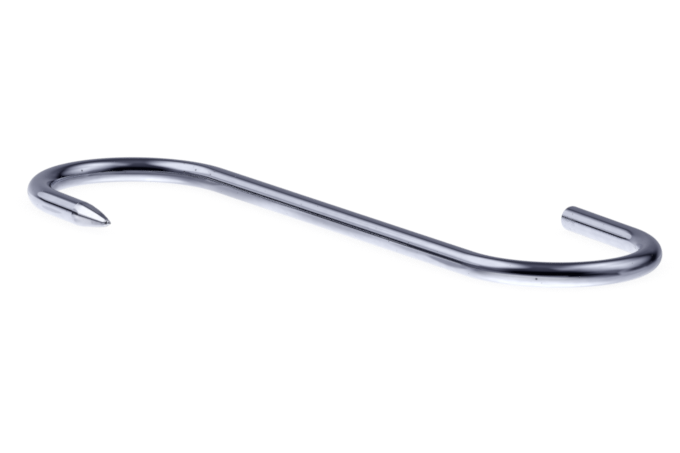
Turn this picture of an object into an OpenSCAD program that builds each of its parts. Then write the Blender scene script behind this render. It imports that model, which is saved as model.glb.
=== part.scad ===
// Double-ended hanging hook, bent from one length of round bar.
// It lies on its side. The straight shank runs along X, the bends and legs lie
// in the XY plane, and the underside of the bar touches z = 0.
// The origin is under the middle of the box around the hook.

/* [Bar] */
// Diameter of the round bar
bar_d = 8; // [6:0.5:12]

/* [Shank and bends] */
// Straight length between the two bends
shank_l = 135; // [80:0.5:300]
// Radius of the bends, to the middle of the bar
bend_r = 31.7; // [18:0.1:60]
// Turn of the blunt bend, in degrees
blunt_sweep = 176.8; // [175:0.1:180]
// Turn of the pointed bend, in degrees
point_sweep = 176.9; // [175:0.1:180]
// How much wider the outer half of the pointed bend is, where it springs open
spring_open = 0.7; // [0.1:0.1:3]

/* [Blunt end] */
// Straight leg past the blunt bend, to the cut face
blunt_leg = 34.4; // [8:0.2:80]
// Chamfer around the cut face
cut_chamfer = 0.6; // [0.2:0.1:1.5]

/* [Point] */
// Straight leg past the pointed bend, to where the point starts
point_leg = 16.6; // [4:0.2:60]
// Length of the tapered point, without the pip at its tip
point_l = 15.8; // [9:0.1:17]
// Slope of the point's side where it leaves the bar, in degrees
point_slope = 5; // [3.5:0.1:5.5]
// Radius that the point is ground down to
point_end_r = 0.8; // [0.6:0.05:1]
// Width of the step around the small rounded pip at the tip
pip_step = 0.15; // [0.05:0.05:0.3]

/* [Hidden] */
$fn = 96;
bar_r = bar_d / 2;

// The turns, taken to a five-figure cosine or sine. That moves a leg by less than
// 0.01 degrees, and the two lengths of bar at each join then meet face to face.
blunt_turn = acos(round(cos(blunt_sweep) * 1e5) / 1e5);
// The pointed bend turns 90 degrees at bend_r, and the rest at open_r
open_r = bend_r + spring_open;
open_turn = asin(round(sin(point_sweep - 90) * 1e5) / 1e5);

// The point's side is one arc, from the bar's surface after a short land to point_end_r
land = 0.1;
drop = bar_r - point_end_r;
run = point_l - land;
side_r = (drop * drop + run * run) / (2 * (drop * cos(point_slope) - run * sin(point_slope)));
pip_r = point_end_r - pip_step;
pip_l = 0.2;

// How far the two ends reach either side of the shank, and the middle of the two
blunt_reach = bend_r * (1 - cos(blunt_turn))
    + (blunt_leg - cut_chamfer) * sin(blunt_turn)
    - bar_r * cos(blunt_turn);
point_reach = bend_r + open_r * sin(open_turn)
    + (point_leg + land) * cos(open_turn)
    + bar_r * sin(open_turn);
mid_y = (blunt_reach - point_reach) / 2;

// A straight length of bar along +X
module straight(l) {
    rotate([0, 90, 0]) cylinder(d = bar_d, h = l);
}

// A bend that starts along +X and turns left by a degrees. It is turned a little
// too far and then trimmed square, in the frame that the next length starts in.
module bend(r, a) {
    difference() {
        translate([0, r, 0]) rotate([0, 0, -90])
            rotate_extrude(angle = a + 2, $fn = 288)
                translate([r, 0]) circle(d = bar_d);
        past_bend(r, a) translate([0, -bar_d, -bar_d]) cube(2 * bar_d);
    }
}

// Carry on along +X from the end of a bend
module past_bend(r, a) {
    translate([0, r, 0]) rotate([0, 0, a]) translate([0, -r, 0]) children();
}

// The last bit of bar at the cut face, chamfered all round
module cut_end() {
    rotate([0, 90, 0]) cylinder(r1 = bar_r, r2 = bar_r - cut_chamfer, h = cut_chamfer);
}

// The ground point along +X, from the full bar to the rounded pip at the tip
module point() {
    rotate([0, 90, 0]) rotate_extrude() {
        intersection() {
            translate([bar_r - side_r * cos(point_slope), land - side_r * sin(point_slope)])
                circle(r = side_r, $fn = 1440);
            square([bar_r, point_l]);
        }
        translate([0, point_l]) square([pip_r, pip_l]);
        translate([0, point_l + pip_l]) intersection() {
            circle(r = pip_r);
            square(pip_r);
        }
    }
}

module hook() {
    color([0.72, 0.73, 0.78]) translate([0, -mid_y, bar_r]) union() {
        translate([-shank_l / 2, 0, 0]) straight(shank_l);

        // the blunt end, from the shank outwards
        translate([shank_l / 2, 0, 0]) bend(bend_r, blunt_turn);
        translate([shank_l / 2, 0, 0]) past_bend(bend_r, blunt_turn)
            straight(blunt_leg - cut_chamfer);
        translate([shank_l / 2, 0, 0]) past_bend(bend_r, blunt_turn)
            translate([blunt_leg - cut_chamfer, 0, 0]) cut_end();

        // the pointed end, from the shank outwards
        rotate([0, 0, 180]) translate([shank_l / 2, 0, 0]) {
            bend(bend_r, 90);
            past_bend(bend_r, 90) bend(open_r, open_turn);
            past_bend(bend_r, 90) past_bend(open_r, open_turn) straight(point_leg);
            past_bend(bend_r, 90) past_bend(open_r, open_turn)
                translate([point_leg, 0, 0]) point();
        }
    }
}

hook();
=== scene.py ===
import math

import bpy
import numpy as np
from mathutils import Matrix, Vector


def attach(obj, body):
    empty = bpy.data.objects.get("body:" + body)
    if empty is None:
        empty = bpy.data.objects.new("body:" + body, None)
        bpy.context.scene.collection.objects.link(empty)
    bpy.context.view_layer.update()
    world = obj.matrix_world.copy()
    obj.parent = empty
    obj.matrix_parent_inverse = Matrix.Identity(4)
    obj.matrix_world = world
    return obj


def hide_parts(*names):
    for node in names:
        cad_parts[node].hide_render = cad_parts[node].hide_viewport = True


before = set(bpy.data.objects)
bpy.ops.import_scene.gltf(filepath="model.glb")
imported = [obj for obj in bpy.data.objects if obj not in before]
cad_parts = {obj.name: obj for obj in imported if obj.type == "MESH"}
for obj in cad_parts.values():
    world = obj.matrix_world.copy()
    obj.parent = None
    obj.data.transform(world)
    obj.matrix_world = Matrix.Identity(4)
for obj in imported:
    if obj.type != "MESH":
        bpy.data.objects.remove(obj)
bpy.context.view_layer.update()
scene = bpy.context.scene
MM = 0.001

# ---------------------------------------------------------------- camera
# A long lens, 3.2 m away, 13.4 degrees above the ground.
PSI, EPS, ROLL = -0.928554, 0.234655, 0.020641
right = Vector((math.cos(PSI), -math.sin(PSI), 0))
ahead = Vector((math.sin(PSI) * math.cos(EPS), math.cos(PSI) * math.cos(EPS), -math.sin(EPS)))
down = ahead.cross(right)
cam_x = right * math.cos(ROLL) - down * math.sin(ROLL)
cam_down = right * math.sin(ROLL) + down * math.cos(ROLL)
offset = (0.0681418, 0.2711963, 400.0)
place = -(cam_x * offset[0] + cam_down * offset[1] + ahead * offset[2]) * 8 * MM
place.y -= 0.141296 * MM
cam = bpy.data.objects.new("camera", bpy.data.cameras.new("camera"))
scene.collection.objects.link(cam)
turn = Matrix((cam_x, -cam_down, -ahead)).transposed()
cam.matrix_world = Matrix.Translation(place) @ turn.to_4x4()
cam.data.sensor_width = 36
cam.data.lens = 10005.84 * 36 / 680
cam.data.clip_start, cam.data.clip_end = 0.1, 60
scene.camera = cam

# ---------------------------------------------------------------- the bar's path
# Distances in mm along the middle of the bar, 0 at the middle of the shank,
# negative towards the point.
BAR_R = 4.0
HALF_SHANK, SHANK_Y = 67.5, -0.141296
BEND_R, OPEN_R = 31.7, 32.4
BLUNT_TURN, OPEN_TURN = math.radians(176.7992), math.radians(86.9035)
S_BLUNT_LEG = HALF_SHANK + BEND_R * BLUNT_TURN
S_CUT = S_BLUNT_LEG + 34.4
S_QUARTER = HALF_SHANK + BEND_R * math.pi / 2
S_POINT_LEG = S_QUARTER + OPEN_R * OPEN_TURN
S_SHOULDER = S_POINT_LEG + 16.6
POINT_L, PIP_L, PIP_R = 15.8, 0.2, 0.65
S_TIP = S_SHOULDER + POINT_L + PIP_L + PIP_R


def turned(px, py, heading, radius, angle):
    """The end of a left-hand turn that starts at (px, py) along heading."""
    cx, cy = px - math.sin(heading) * radius, py + math.cos(heading) * radius
    h = heading + angle
    return cx + math.sin(h) * radius, cy - math.cos(h) * radius, h


def path(s):
    """Middle of the bar and its heading away from the middle of the shank, at s."""
    if abs(s) <= HALF_SHANK:
        return s, SHANK_Y, 0.0
    if s > 0:
        x, y, h = HALF_SHANK, SHANK_Y, 0.0
        d = s - HALF_SHANK
        legs = ((BEND_R, BLUNT_TURN),)
    else:
        x, y, h = -HALF_SHANK, SHANK_Y, math.pi
        d = -s - HALF_SHANK
        legs = ((BEND_R, math.pi / 2), (OPEN_R, OPEN_TURN))
    for radius, angle in legs:
        step = min(d, radius * angle)
        x, y, h = turned(x, y, h, radius, step / radius)
        d -= step
        if d <= 0:
            break
    x, y = x + math.cos(h) * d, y + math.sin(h) * d
    return x, y, h if s > 0 else h - math.pi


def fillet(pts, k, r, n=5):
    """Points that round the corner at pts[k] of a profile with radius r."""
    a, b, c = (np.array(pts[i], float) for i in (k - 1, k, k + 1))
    u, v = (a - b) / np.linalg.norm(a - b), (c - b) / np.linalg.norm(c - b)
    half = math.acos(max(-1, min(1, float(u @ v)))) / 2
    cut = r / math.tan(half)
    mid = b + (u + v) / np.linalg.norm(u + v) * (r / math.sin(half))
    p, q = b + u * cut - mid, b + v * cut - mid
    full = math.acos(max(-1, min(1, float(p @ q) / r / r)))
    return [
        tuple(mid + (p * math.sin((1 - t) * full) + q * math.sin(t * full)) / math.sin(full))
        for t in np.linspace(0, 1, n)
    ]


# The hand-ground point. Its mean radius by distance from the shoulder, in mm
POINT = [(0.06, 3.985), (2.1, 3.673), (4.5, 3.276), (7.0, 2.826), (9.5, 2.324), (12.0, 1.717), (14.0, 1.234), (15.2, 0.93)]
# How it strays from round: waves around it, each with its cosine and sine parts at
# the shoulder and how much these grow towards the tip
WAVES = [
    (1, 0.084, -0.010, -0.140, -0.009),
    (2, -0.041, 0.044, 0.001, -0.154),
    (3, 0.030, 0.000, 0.034, 0.037),
    (4, -0.012, 0.045, -0.034, -0.095),
    (6, 0.035, 0.027, -0.043, 0.010),
]


def eased(table, first_slope, x):
    """A smooth curve through a table of (x, value), without overshoot."""
    steps = [b[0] - a[0] for a, b in zip(table, table[1:])]
    rates = [(b[1] - a[1]) / h for a, b, h in zip(table, table[1:], steps)]
    slopes = [first_slope]
    for k in range(1, len(rates)):
        w1, w2 = 2 * steps[k] + steps[k - 1], steps[k] + 2 * steps[k - 1]
        slopes.append((w1 + w2) / (w1 / rates[k - 1] + w2 / rates[k]))
    slopes.append(rates[-1])
    k = max(i for i in range(len(steps)) if i == 0 or table[i][0] <= x)
    h, t = steps[k], (x - table[k][0]) / steps[k]
    return (
        (2 * t**3 - 3 * t**2 + 1) * table[k][1]
        + (t**3 - 2 * t**2 + t) * h * slopes[k]
        + (3 * t**2 - 2 * t**3) * table[k + 1][1]
        + (t**3 - t**2) * h * slopes[k + 1]
    )


def point_profile():
    """The outline of the point: distance from the shoulder, mean radius."""
    out = [(0.0, BAR_R)]
    out += [(x, eased(POINT, -0.05, x)) for x in (0.06, 0.12, 0.22, 0.34)]
    out += [(x, eased(POINT, -0.05, x)) for x in np.linspace(0.5, 15.2, 84)]
    # a narrow neck, then the rounded pip
    out += [(15.28, 0.912), (15.36, 0.885), (15.43, 0.83), (15.5, 0.755), (15.57, 0.68), (15.64, 0.625), (15.72, 0.6)]
    out += [(POINT_L, 0.59), (15.87, 0.607), (15.93, 0.635), (POINT_L + PIP_L, PIP_R)]
    for a in np.radians(np.linspace(8, 88, 11)):
        out.append((POINT_L + PIP_L + PIP_R * math.sin(a), PIP_R * math.cos(a)))
    return out


def facets(s, a):
    """How the hand-ground point strays from round: soft faces between low ridges."""
    x = -s - S_SHOULDER
    # the face low on the outer side starts more gently than the rest
    gentle = max(0.0, math.cos(a - math.radians(-30))) ** 6
    rise = min(1.0, max(0.0, (x - 0.3) / (2.5 + 2.5 * gentle)))
    fall = min(1.0, max(0.0, (15.2 - x) / 1.5))
    t = x / POINT_L
    h = sum((c0 + c1 * t) * math.cos(k * a) + (s0 + s1 * t) * math.sin(k * a) for k, c0, s0, c1, s1 in WAVES)
    # calmer on the inner side, which faces the shank
    h *= 1 - 0.72 * max(0.0, -math.cos(a - math.radians(12))) ** 4
    return 1 + h * rise * rise * (3 - 2 * rise) * fall


def ease(x, lo, hi):
    x = min(1.0, max(0.0, (x - lo) / (hi - lo)))
    return x * x * (3 - 2 * x)


def lift(s):
    """The neck and the pip sit a little above the middle of the bar, in mm."""
    return 0.36 * ease(-s - S_SHOULDER, 13.9, 16.0)


def within(s, r):
    """Keeps the point's radius inside the reach of the leg that it is ground from."""
    most = BAR_R - 0.06 * max(0.0, -s - S_SHOULDER)
    over = (r - most + 0.05) / 0.05
    return r if s >= -S_SHOULDER or over <= 0 else most - 0.05 + 0.05 * math.tanh(over)


def cut_profile():
    """The cut end: distance before the cut face, radius, from the bar outwards."""
    ch = 0.6
    pts = [(8.0, BAR_R), (ch, BAR_R - 0.012), (0.0, BAR_R - ch), (0.0, 0.5)]
    pts = [(-x, r) for x, r in pts]
    out = [(x, BAR_R - 0.012 * (1 - (-x - ch) / (8 - ch)) ** 2) for x in np.linspace(-8, -0.9, 16)]
    out += fillet(pts, 1, 0.22, 6)
    out += [(x, BAR_R - 0.012 - (x + ch)) for x in np.linspace(-0.42, -0.16, 4)]
    out += fillet(pts, 2, 0.09, 5)
    return out


# ---------------------------------------------------------------- the mesh
AROUND = 120


def stations():
    """Every ring as (s, radius)."""
    rings = [(-S_SHOULDER - x, r) for x, r in reversed(point_profile())]
    rings += [(s, BAR_R) for s in np.linspace(-S_SHOULDER + 0.12, -S_POINT_LEG, 24)]
    rings += [(s, BAR_R) for s in np.linspace(-S_POINT_LEG, -HALF_SHANK, 168)[1:]]
    rings += [(s, BAR_R) for s in np.linspace(-HALF_SHANK, HALF_SHANK, 92)[1:]]
    rings += [(s, BAR_R) for s in np.linspace(HALF_SHANK, S_BLUNT_LEG, 168)[1:]]
    rings += [(s, BAR_R) for s in np.linspace(S_BLUNT_LEG, S_CUT - 8.0, 30)[1:-1]]
    rings += [(S_CUT + x, r) for x, r in cut_profile()]
    return rings


def waver(s, a):
    """Slight unevenness of a drawn and hand-polished bar, in mm, never outwards."""
    w = 0.5 + 0.5 * math.sin(s / 5.3 + 1.2 * math.sin(s / 17.0) + 2 * math.cos(a))
    v = 0.5 + 0.5 * math.sin(s / 2.9 - 1.5 * math.sin(a + 0.7) + math.sin(s / 7.7))
    return 0.006 * w + 0.0022 * v


def build_hook():
    verts, bar = [], []
    rings = stations()
    for s, r in rings:
        x, y, h = path(s)
        nx, ny = -math.sin(h), math.cos(h)
        calm = min(1.0, max(0.0, (r - 3.3) / 0.5))
        for j in range(AROUND):
            a = 2 * math.pi * j / AROUND - math.pi / 2
            rr = within(s, r * facets(s, a)) - calm * waver(s, a) - 0.009 * abs(math.cos(a))
            py, pz = rr * math.cos(a), rr * math.sin(a)
            verts.append(((x + nx * py) * MM, (y + ny * py) * MM, (BAR_R + pz + lift(s)) * MM))
            bar.append((s, py, pz))
    faces = []
    n = len(rings)
    for i in range(n - 1):
        for j in range(AROUND):
            k = (j + 1) % AROUND
            faces.append((i * AROUND + j, i * AROUND + k, (i + 1) * AROUND + k, (i + 1) * AROUND + j))

    # the very tip, one point
    x, y, h = path(-S_TIP)
    tip = len(verts)
    verts.append((x * MM, y * MM, (BAR_R + lift(-S_TIP)) * MM))
    bar.append((-S_TIP, 0.0, 0.0))
    for j in range(AROUND):
        faces.append((tip, (j + 1) % AROUND, j))

    # the cut face: rings inwards, a little dished
    last = (n - 1) * AROUND
    x, y, h = path(S_CUT)
    nx, ny, tx, ty = -math.sin(h), math.cos(h), math.cos(h), math.sin(h)
    face_r = rings[-1][1]
    steps = [0.97, 0.9, 0.8, 0.68, 0.55, 0.42, 0.29, 0.17, 0.07]
    for f in steps:
        dish = -0.03 * (1 - f * f)
        start = len(verts)
        for j in range(AROUND):
            a = 2 * math.pi * j / AROUND - math.pi / 2
            py, pz = face_r * f * math.cos(a), face_r * f * math.sin(a)
            verts.append(((x + nx * py + tx * dish) * MM, (y + ny * py + ty * dish) * MM, (BAR_R + pz) * MM))
            bar.append((S_CUT + dish, py, pz))
        for j in range(AROUND):
            k = (j + 1) % AROUND
            faces.append((last + j, last + k, start + k, start + j))
        last = start
    mid = len(verts)
    verts.append(((x - tx * 0.03) * MM, (y - ty * 0.03) * MM, BAR_R * MM))
    bar.append((S_CUT - 0.03, 0.0, 0.0))
    for j in range(AROUND):
        faces.append((last + j, last + (j + 1) % AROUND, mid))

    mesh = bpy.data.meshes.new("s_hook")
    mesh.from_pydata(verts, [], faces)
    mesh.validate()
    mesh.update()
    at = mesh.attributes.new("bar", "FLOAT_VECTOR", "POINT")
    at.data.foreach_set("vector", np.array(bar, np.float32).ravel())

    # The map that a bake would use: four strips of the bar, side by side, and the cut face
    page, gap, lane = 106.0, 0.55, 2 * math.pi * BAR_R
    strip = (S_CUT + S_TIP) / 4
    layer = mesh.uv_layers.new(name="OFBake")
    uv = np.zeros((len(mesh.loops), 2), np.float32)
    coords = np.array(bar)
    ang = (np.arctan2(coords[:, 2], coords[:, 1]) + math.pi / 2) % (2 * math.pi)
    side_faces = (n - 1) * AROUND + AROUND
    for p in mesh.polygons:
        ids = list(p.vertices)
        s_mid = float(np.mean([coords[i, 0] for i in ids]))
        if p.index >= side_faces and s_mid > S_CUT - 0.2:
            for li, i in zip(p.loop_indices, ids):
                uv[li] = ((102.7 + coords[i, 1] * 0.82) / page, (4.0 + coords[i, 2] * 0.82) / page)
            continue
        k = min(3, int((s_mid + S_TIP) // strip))
        u0 = gap + (k * (lane + gap))
        base = max(ang[i] for i in ids)
        poles = [i for i in ids if i == tip]
        for li, i in zip(p.loop_indices, ids):
            a = ang[i]
            if i in poles:
                a = np.mean([ang[q] for q in ids if q != i])
            elif base > math.pi * 1.5 and a < math.pi * 0.5:
                a += 2 * math.pi
            uv[li] = ((gap + coords[i, 0] + S_TIP - k * strip) / page, (u0 + a * BAR_R) / page)
    layer.data.foreach_set("uv", uv.ravel())

    ob = bpy.data.objects.new("s_hook", mesh)
    scene.collection.objects.link(ob)
    mesh.polygons.foreach_set("use_smooth", [True] * len(mesh.polygons))
    return ob


# ---------------------------------------------------------------- node helpers
class Nodes:
    def __init__(self, tree):
        self.tree = tree
        tree.nodes.clear()

    def add(self, kind, **props):
        n = self.tree.nodes.new(kind)
        for k, v in props.items():
            setattr(n, k, v)
        return n

    def link(self, a, b):
        self.tree.links.new(a, b)

    def put(self, socket, value):
        if isinstance(value, bpy.types.NodeSocket):
            self.link(value, socket)
        else:
            socket.default_value = value

    def maths(self, op, a, b=None, c=None, clamp=False):
        n = self.add("ShaderNodeMath", operation=op, use_clamp=clamp)
        for i, v in enumerate((a, b, c)):
            if v is not None:
                self.put(n.inputs[i], v)
        return n.outputs[0]

    def dot(self, a, vec):
        n = self.add("ShaderNodeVectorMath", operation="DOT_PRODUCT")
        self.put(n.inputs[0], a)
        n.inputs[1].default_value = vec
        return n.outputs["Value"]

    def times(self, a, vec):
        n = self.add("ShaderNodeVectorMath", operation="MULTIPLY")
        self.put(n.inputs[0], a)
        n.inputs[1].default_value = vec
        return n.outputs[0]

    def smooth(self, value, lo, hi, out_lo=0.0, out_hi=1.0, kind="SMOOTHSTEP"):
        n = self.add("ShaderNodeMapRange", interpolation_type=kind)
        self.put(n.inputs["Value"], value)
        n.inputs["From Min"].default_value, n.inputs["From Max"].default_value = lo, hi
        n.inputs["To Min"].default_value, n.inputs["To Max"].default_value = out_lo, out_hi
        return n.outputs["Result"]

    def mix(self, fac, a, b):
        n = self.add("ShaderNodeMix", data_type="RGBA")
        self.put(n.inputs[0], fac)
        self.put(n.inputs[6], a)
        self.put(n.inputs[7], b)
        return n.outputs[2]

    def blend(self, fac, a, b):
        n = self.add("ShaderNodeMix", data_type="FLOAT")
        self.put(n.inputs[0], fac)
        self.put(n.inputs[2], a)
        self.put(n.inputs[3], b)
        return n.outputs[0]

    def noise(self, vec, scale=1.0, detail=2.0, rough=0.5):
        n = self.add("ShaderNodeTexNoise")
        self.link(vec, n.inputs["Vector"])
        n.inputs["Scale"].default_value = scale
        n.inputs["Detail"].default_value = detail
        n.inputs["Roughness"].default_value = rough
        return n.outputs["Fac"]


# ---------------------------------------------------------------- the steel
# Single small pits and smudges, and painted shade: where in the unbent bar, in mm, how wide and how dark
PITS_AND_PAINTED_SHADE = [
    ((-120.4, -3.59, 1.77), 0.42, 1.0),
    ((-80.0, -3.79, 1.29), 0.40, 1.0),
    ((-75.4, -3.17, 2.44), 0.42, 1.0),
    ((-67.5, -3.33, 2.22), 0.34, 1.0),
    ((-66.6, -2.22, 3.33), 0.36, 1.0),
    ((92.8, -3.97, -0.52), 0.46, 1.0),
    ((140.1, 2.33, 3.25), 0.40, 1.0),
    ((144.0, 2.92, 2.73), 0.9, 0.22),
    # the next two are painted shade, not pits: the dark underside at the neck before the pip
    ((-198.5, 0.75, -0.05), 0.7, 1.0),
    ((-196.68, 0.59, -1.42), 0.42, 0.9),
    ((-192.66, 2.34, -0.56), 0.75, 0.2),
    ((-194.52, 2.01, 0.27), 0.6, 0.2),
]


def steel():
    mat = bpy.data.materials.new("bright_steel")
    mat.use_nodes = True
    g = Nodes(mat.node_tree)
    out = g.add("ShaderNodeOutputMaterial")
    bsdf = g.add("ShaderNodeBsdfPrincipled")
    g.link(bsdf.outputs[0], out.inputs[0])
    bsdf.inputs["Metallic"].default_value = 1.0
    bar = g.add("ShaderNodeAttribute", attribute_name="bar").outputs["Vector"]
    split = g.add("ShaderNodeSeparateXYZ")
    g.link(bar, split.inputs[0])
    s = split.outputs["X"]

    # lengthwise drawing lines, fine and coarse, and cloudy polish
    fine = g.noise(g.times(bar, (0.045, 5.5, 5.5)), detail=3, rough=0.6)
    lines = g.noise(g.times(bar, (0.02, 1.7, 1.7)), detail=3, rough=0.55)
    cloud = g.noise(g.times(bar, (0.28, 0.5, 0.5)), detail=4, rough=0.6)
    flecks = g.noise(g.times(bar, (0.9, 1.6, 1.6)), detail=3, rough=0.7)

    # small pits, few and unevenly spread, then the listed spots, the painted shade at the neck among them
    pits = g.add("ShaderNodeTexVoronoi", feature="F1")
    g.link(g.times(bar, (0.36, 0.42, 0.42)), pits.inputs["Vector"])
    pits.inputs["Scale"].default_value = 1.0
    pit_and_painted_shade = g.smooth(pits.outputs["Distance"], 0.035, 0.085, 1.0, 0.0)
    for place, size, dark in PITS_AND_PAINTED_SHADE:
        away = g.add("ShaderNodeVectorMath", operation="DISTANCE")
        g.link(bar, away.inputs[0])
        away.inputs[1].default_value = place
        pit_and_painted_shade = g.maths("MAXIMUM", pit_and_painted_shade, g.smooth(away.outputs["Value"], size * 0.45, size, dark, 0.0))

    # where the bar is ground to the point, where it was cut, and the cut face itself
    ground = g.smooth(s, -S_SHOULDER - 0.05, -S_SHOULDER + 0.05, 1.0, 0.0)
    handled = g.smooth(s, S_CUT - 8.6, S_CUT - 7.9)
    scuffed = g.maths("MULTIPLY", handled, g.smooth(split.outputs["Z"], 1.2, 2.0, 1.0, 0.0))
    sawn = g.smooth(s, S_CUT - 0.62, S_CUT - 0.52)

    colour = g.mix(g.smooth(cloud, 0.3, 0.75), (0.73, 0.745, 0.815, 1), (0.655, 0.67, 0.745, 1))
    colour = g.mix(g.smooth(lines, 0.52, 0.8, 0.0, 0.5), colour, (0.60, 0.615, 0.69, 1))
    colour = g.mix(g.smooth(flecks, 0.5, 0.75, 0.0, 0.4), colour, (0.62, 0.635, 0.71, 1))
    # the point: its ground finish, with a painted highlight: brighter colour on its upper faces, duller below
    ground_finish_and_painted_highlight = g.mix(g.smooth(split.outputs["Z"], -1.4, 0.4), (0.78, 0.785, 0.83, 1), (0.95, 0.95, 0.96, 1))
    ground_finish_and_painted_highlight = g.mix(g.smooth(s, -S_SHOULDER - 4.2, -S_SHOULDER - 0.8), ground_finish_and_painted_highlight, (0.74, 0.745, 0.80, 1))
    colour = g.mix(g.maths("MULTIPLY", ground, g.smooth(flecks, 0.35, 0.7, 0.95, 0.7)), colour, ground_finish_and_painted_highlight)
    colour = g.mix(g.maths("MULTIPLY", sawn, 0.6), colour, (0.56, 0.56, 0.60, 1))
    # near-black pits, and the painted shade at the neck before the pip
    colour = g.mix(g.maths("MULTIPLY", pit_and_painted_shade, 0.85), colour, (0.06, 0.06, 0.08, 1))
    g.link(colour, bsdf.inputs["Base Color"])

    rough = g.maths("MULTIPLY_ADD", fine, 0.02, 0.015)
    rough = g.maths("MULTIPLY_ADD", g.smooth(cloud, 0.35, 0.8), 0.025, rough)
    rough = g.maths("MULTIPLY_ADD", g.smooth(flecks, 0.55, 0.8), 0.025, rough)
    rough = g.maths("MULTIPLY_ADD", handled, 0.02, rough)
    rough = g.maths("MULTIPLY_ADD", scuffed, g.smooth(flecks, 0.3, 0.7, 0.12, 0.20), rough)
    rough = g.maths("MULTIPLY_ADD", ground, 0.06, rough)
    rough = g.maths("MULTIPLY_ADD", sawn, 0.16, rough)
    rough = g.maths("MULTIPLY_ADD", pit_and_painted_shade, 0.3, rough)
    g.link(rough, bsdf.inputs["Roughness"])

    # relief, in mm: drawing lines, the grinding rings of the point, saw marks, pits
    relief = g.maths("MULTIPLY", fine, 0.00005)
    relief = g.maths("MULTIPLY_ADD", lines, 0.0002, relief)
    rings = g.noise(g.times(bar, (9.0, 0.12, 0.12)), detail=3, rough=0.6)
    relief = g.maths("MULTIPLY_ADD", g.maths("MULTIPLY", rings, ground), 0.0004, relief)
    saw = g.noise(g.times(bar, (0.0, 0.25, 6.0)), detail=3, rough=0.6)
    relief = g.maths("MULTIPLY_ADD", g.maths("MULTIPLY", saw, sawn), 0.02, relief)
    relief = g.maths("MULTIPLY_ADD", pit_and_painted_shade, -0.03, relief)
    bump = g.add("ShaderNodeBump")
    bump.inputs["Strength"].default_value = 1.0
    bump.inputs["Distance"].default_value = MM
    g.link(relief, bump.inputs["Height"])
    g.link(bump.outputs[0], bsdf.inputs["Normal"])
    return mat


hook = build_hook()
hook.data.materials.append(steel())
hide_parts("hook")
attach(hook, "root")

# ---------------------------------------------------------------- the ground
ground_mesh = bpy.data.meshes.new("ground")
g_half = 6.0
ground_mesh.from_pydata(
    [(-g_half, -g_half, 0), (g_half, -g_half, 0), (g_half, g_half, 0), (-g_half, g_half, 0)],
    [],
    [(0, 1, 2, 3)],
)
ground_ob = bpy.data.objects.new("ground", ground_mesh)
scene.collection.objects.link(ground_ob)
pale = bpy.data.materials.new("pale_ground")
pale.use_nodes = True
g = Nodes(pale.node_tree)
out = g.add("ShaderNodeOutputMaterial")
both = g.add("ShaderNodeAddShader")
white = g.add("ShaderNodeBsdfDiffuse")
white.inputs["Color"].default_value = (0.13, 0.13, 0.13, 1)
glow = g.add("ShaderNodeEmission")
glow.inputs["Color"].default_value = (1, 1, 1, 1)
glow.inputs["Strength"].default_value = 0.89
g.link(white.outputs[0], both.inputs[0])
g.link(glow.outputs[0], both.inputs[1])
g.link(both.outputs[0], out.inputs[0])
ground_mesh.materials.append(pale)
ground_ob.visible_glossy = False

# ---------------------------------------------------------------- the studio
# Soft light panels and dark flags, painted on a shell around the hook. Azimuth 0
# is towards the camera, and grows anticlockwise seen from above, in degrees.
E0 = np.array((-math.sin(PSI), -math.cos(PSI), 0.0))
E1 = np.array((-E0[1], E0[0], 0.0))
# How far the lights stand around the middle of the hook
MIDDLE = (0.0, SHANK_Y * MM, BAR_R * MM)
SHELL_R = 1.2
# cool in the dark, neutral in the light: factor and power of the brightness, for red, green, blue
TINT = ((0.98, 1.01), (1.0, 1.0), (1.05, 0.87))

LEVELS = [
    # elevation, brightness
    (-90, 1.366), (-75, 1.455), (-60, 1.263), (-50, 0.564), (-40, 0.248), (-30, 0.343), (-20, 0.158), (-10, 0.233), (-4, 0.046),
    (0, 0.003), (3, 0.000), (8, 0.015), (20, 0.138), (40, 0.030), (60, 0.054), (75, 0.073), (90, 0.116),
]
PANELS = [
    # azimuth, elevation, roll, half width, half height, softness, brightness
    (-159.8, 13.7, -44.3, 0.598, 0.285, 0.359, 0.1791),
    (117.7, 20.6, -2.3, 0.484, 0.604, 0.405, 0.0039),
    (147.6, -20.0, -15.4, 0.154, 0.251, 1.398, 0.4358),
    (-140.7, -19.9, 20.2, 0.715, 0.253, 0.215, 0.8261),
    (47.1, -20.5, 24.3, 1.236, 0.308, 0.462, 0.0450),
    (218.8, -38.4, 16.8, 0.949, 0.240, 1.343, 1.0861),
    (11.0, -52.6, 19.4, 0.639, 0.214, 2.308, 0.8549),
    (-40.2, -6.1, 4.7, 1.826, 0.173, 0.087, 0.2455),
    (96.5, -43.5, 24.1, 0.454, 0.242, 2.148, 0.7459),
    (-38.7, -12.9, -19.1, 1.722, 0.199, 1.296, 0.1433),
    (31.2, 63.0, -13.4, 0.084, 0.166, 1.414, 0.3909),
    (89.3, 41.7, -56.3, 0.185, 0.165, 4.211, 1.6390),
    (91.9, -9.2, 25.9, 0.310, 0.427, 0.170, 0.4117),
    (98.0, -0.3, 1.8, 0.318, 0.175, 0.668, 0.0503),
    (-98.9, 50.1, 11.3, 0.619, 0.465, 0.454, 1.0535),
    (107.4, 61.4, -19.3, 0.204, 0.092, 2.701, 1.3924),
    (-126.6, 23.8, -59.7, 0.236, 0.182, 0.024, 0.8218),
    (0.2, 21.2, 0.8, 0.957, 0.360, 0.371, 0.0015),
    (188.8, -25.6, 43.5, 0.718, 0.172, 3.181, 1.0563),
    (-89.2, -4.9, 2.8, 0.356, 0.039, 0.059, 0.0124),
    (-98.1, 17.8, 12.8, 0.391, 0.062, 0.118, 0.5925),
    (67.4, 9.8, 46.1, 0.153, 0.197, 0.973, 0.1477),
    (175.3, -11.1, -4.3, 0.783, 0.021, 0.275, 0.6405),
    (183.7, 6.6, 16.1, 0.745, 0.194, 1.276, 0.2819),
]
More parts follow.
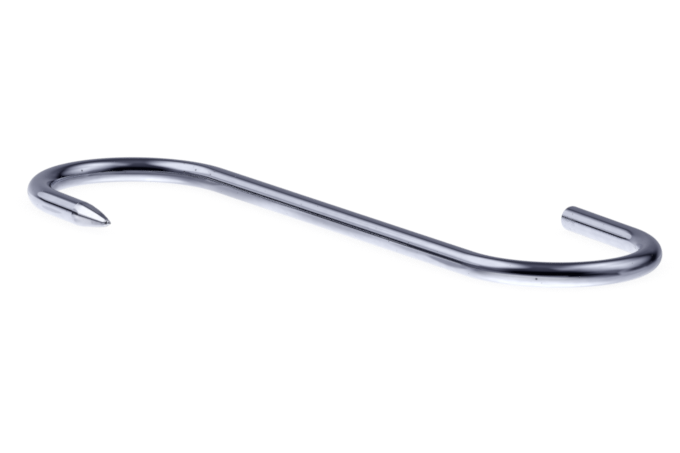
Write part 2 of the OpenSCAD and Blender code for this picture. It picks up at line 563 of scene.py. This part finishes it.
# Painted shadows and pools of light on the ground near the hook, seen only in the steel's reflections
PAINTED_FLOOR_SHADE_AND_LIGHT = [
    # x and y in mm, turn, half length, half width, softness, cover, brightness
    (-62.4, -17.1, 0.8, 18.6, 15.9, 0.60, 0.831, 0.372),
    (-79.7, -15.2, 47.1, 11.8, 3.0, 0.25, 0.704, 0.145),
    (97.9, -6.4, -14.5, 20.6, 26.3, 0.49, 0.480, 1.404),
    (-72.0, -71.1, 4.5, 6.8, 2.3, 0.06, 0.561, 0.615),
    (53.2, -11.3, 12.3, 12.2, 5.7, 0.20, 0.952, 0.371),
    (31.4, -14.8, 17.5, 12.6, 7.4, 0.29, 0.316, 0.266),
    (15.7, -18.1, -23.3, 36.1, 4.3, 0.98, 0.942, 0.873),
    (-9.4, -11.7, 2.3, 22.3, 7.1, 0.46, 0.471, 0.259),
    (77.8, -3.1, 9.5, 14.1, 2.5, 0.60, 0.409, 1.239),
    (-54.7, -58.5, -1.2, 27.0, 6.0, 0.33, 0.995, 0.003),
    (-83.8, -48.5, -48.2, 11.3, 4.9, 0.10, 0.994, 0.003),
    (-88.1, -35.9, -93.4, 7.6, 3.1, 0.28, 0.958, 0.003),
    (-67.8, -28.5, -14.9, 36.5, 7.1, 0.75, 0.146, 0.010),
    (-42.5, -65.4, 3.0, 11.5, 3.8, 0.40, 0.850, 0.920),
]


def surroundings(g, way):
    """Brightness by direction: the levels, then each panel laid over what is behind it."""
    height = g.dot(way, (0, 0, 1))
    n = g.add("ShaderNodeMapRange")
    g.link(height, n.inputs["Value"])
    n.inputs["From Min"].default_value, n.inputs["From Max"].default_value = -1, 1
    ramp = g.add("ShaderNodeValToRGB")
    ramp.color_ramp.interpolation = "LINEAR"
    g.link(n.outputs["Result"], ramp.inputs["Fac"])
    els = ramp.color_ramp.elements
    while len(els) < len(LEVELS):
        els.new(0.5)
    for i, (e, _) in enumerate(LEVELS):
        els[i].position = (math.sin(math.radians(e)) + 1) / 2
    for i, (_, b) in enumerate(LEVELS):
        els[i].color = (b / 2, b / 2, b / 2, 1)
    level = g.maths("MULTIPLY", g.dot(ramp.outputs["Color"], (1 / 3, 1 / 3, 1 / 3)), 2.0)
    for az, el, roll, wu, wv, k, b in PANELS:
        az, el, roll = (math.radians(v) for v in (az, el, roll))
        a = math.cos(el) * (math.cos(az) * E0 + math.sin(az) * E1) + np.array((0, 0, math.sin(el)))
        u = -math.sin(az) * E0 + math.cos(az) * E1
        v = np.cross(a, u)
        u, v = math.cos(roll) * u + math.sin(roll) * v, -math.sin(roll) * u + math.cos(roll) * v
        near = g.dot(way, a)
        front = g.maths("MAXIMUM", near, 0.05)
        x = g.maths("ABSOLUTE", g.maths("DIVIDE", g.dot(way, u / wu), front))
        y = g.maths("ABSOLUTE", g.maths("DIVIDE", g.dot(way, v / wv), front))
        q = g.maths("POWER", g.maths("ADD", g.maths("POWER", x, 3.0), g.maths("POWER", y, 3.0)), 1 / 3)
        mask = g.smooth(q, 1 - k, 1 + k, 1.0, 0.0)
        mask = g.maths("MULTIPLY", mask, g.maths("GREATER_THAN", near, 0.0))
        level = g.blend(mask, level, b)
    join = g.add("ShaderNodeCombineColor")
    for i, (k, power) in enumerate(TINT):
        g.link(g.maths("MULTIPLY", g.maths("POWER", level, power), k), join.inputs[i])
    return join.outputs[0]


def painted_floor_shade_and_light(g, place):
    """What the steel sees of the ground close by, painted shadows and pools of light: how much shows through, and
    their painted light.
    """
    split = g.add("ShaderNodeSeparateXYZ")
    g.link(place, split.inputs[0])
    through, light = 1.0, (0, 0, 0, 1)
    for cx, cy, roll, wx, wy, k, cover, b in PAINTED_FLOOR_SHADE_AND_LIGHT:
        roll = math.radians(roll)
        x = g.maths("MULTIPLY_ADD", split.outputs["X"], 1000.0, -cx)
        y = g.maths("MULTIPLY_ADD", split.outputs["Y"], 1000.0, -cy - SHANK_Y)
        u = g.maths("ADD", g.maths("MULTIPLY", x, math.cos(roll) / wx), g.maths("MULTIPLY", y, math.sin(roll) / wx))
        v = g.maths("ADD", g.maths("MULTIPLY", x, -math.sin(roll) / wy), g.maths("MULTIPLY", y, math.cos(roll) / wy))
        u = g.maths("POWER", g.maths("ABSOLUTE", u), 2.5)
        v = g.maths("POWER", g.maths("ABSOLUTE", v), 2.5)
        q = g.maths("POWER", g.maths("ADD", u, v), 1 / 2.5)
        mask = g.smooth(q, 1 - k, 1 + k, cover, 0.0)
        through = g.maths("MULTIPLY", through, g.maths("SUBTRACT", 1.0, mask))
        light = g.mix(mask, light, tuple(kk * b**power for kk, power in TINT) + (1,))
    return through, light


def shell(name, radius, mat):
    """A shell around the hook that only the steel's reflections see."""
    around, up = 128, 64
    verts, faces = [], []
    for i in range(up + 1):
        e = -math.pi / 2 + math.pi * i / up
        for j in range(around):
            a = 2 * math.pi * j / around
            verts.append((MIDDLE[0] + radius * math.cos(e) * math.cos(a),
                          MIDDLE[1] + radius * math.cos(e) * math.sin(a),
                          MIDDLE[2] + radius * math.sin(e)))
    for i in range(up):
        for j in range(around):
            k = (j + 1) % around
            faces.append((i * around + j, i * around + k, (i + 1) * around + k, (i + 1) * around + j))
    mesh = bpy.data.meshes.new(name)
    mesh.from_pydata(verts, [], faces)
    mesh.materials.append(mat)
    ob = bpy.data.objects.new(name, mesh)
    scene.collection.objects.link(ob)
    only_reflected(ob)


def near_ground():
    """The ground close to the hook with its painted shadows and pools of light, as only the steel's reflections see
    it.
    """
    mat = bpy.data.materials.new("painted_ground_shade_and_light")
    mat.use_nodes = True
    g = Nodes(mat.node_tree)
    out = g.add("ShaderNodeOutputMaterial")
    through, light = painted_floor_shade_and_light(g, g.add("ShaderNodeNewGeometry").outputs["Position"])
    clear = g.add("ShaderNodeBsdfTransparent")
    g.link(through, clear.inputs["Color"])
    glow = g.add("ShaderNodeEmission")
    g.link(light, glow.inputs["Color"])
    both = g.add("ShaderNodeAddShader")
    g.link(clear.outputs[0], both.inputs[0])
    g.link(glow.outputs[0], both.inputs[1])
    g.link(both.outputs[0], out.inputs["Surface"])
    mat.cycles.emission_sampling = "NONE"
    half = 0.28
    mesh = bpy.data.meshes.new("painted_ground_shade_and_light")
    corners = [(-half, -half), (half, -half), (half, half), (-half, half)]
    mesh.from_pydata([(x, y, -0.00002) for x, y in corners], [], [(0, 1, 2, 3)])
    mesh.materials.append(mat)
    ob = bpy.data.objects.new("painted_ground_shade_and_light", mesh)
    scene.collection.objects.link(ob)
    only_reflected(ob)


def only_reflected(ob):
    for see in ("camera", "diffuse", "transmission", "volume_scatter", "shadow"):
        setattr(ob, "visible_" + see, False)


def studio():
    lit = bpy.data.materials.new("soft_light")
    lit.use_nodes = True
    g = Nodes(lit.node_tree)
    out = g.add("ShaderNodeOutputMaterial")
    from_middle = g.add("ShaderNodeVectorMath", operation="SUBTRACT")
    g.link(g.add("ShaderNodeNewGeometry").outputs["Position"], from_middle.inputs[0])
    from_middle.inputs[1].default_value = MIDDLE
    unit = g.add("ShaderNodeVectorMath", operation="NORMALIZE")
    g.link(from_middle.outputs[0], unit.inputs[0])
    glow = g.add("ShaderNodeEmission")
    g.link(surroundings(g, unit.outputs[0]), glow.inputs["Color"])
    glow.inputs["Strength"].default_value = 1.0
    g.link(glow.outputs[0], out.inputs["Surface"])
    lit.cycles.emission_sampling = "NONE"
    shell("lights", SHELL_R, lit)
    near_ground()

    world = bpy.data.worlds.new("studio")
    scene.world = world
    world.use_nodes = True
    g = Nodes(world.node_tree)
    plain = g.add("ShaderNodeBackground")
    plain.inputs["Color"].default_value = (1, 1, 1, 1)
    plain.inputs["Strength"].default_value = 1.0
    g.link(plain.outputs[0], g.add("ShaderNodeOutputWorld").inputs["Surface"])
    world.cycles.sampling_method = "NONE"


studio()

scene.view_settings.view_transform = "Standard"
scene.view_settings.look = "None"
scene.view_settings.exposure = 0
scene.view_settings.gamma = 1
scene.cycles.use_denoising = False
scene.cycles.filter_width = 1.8
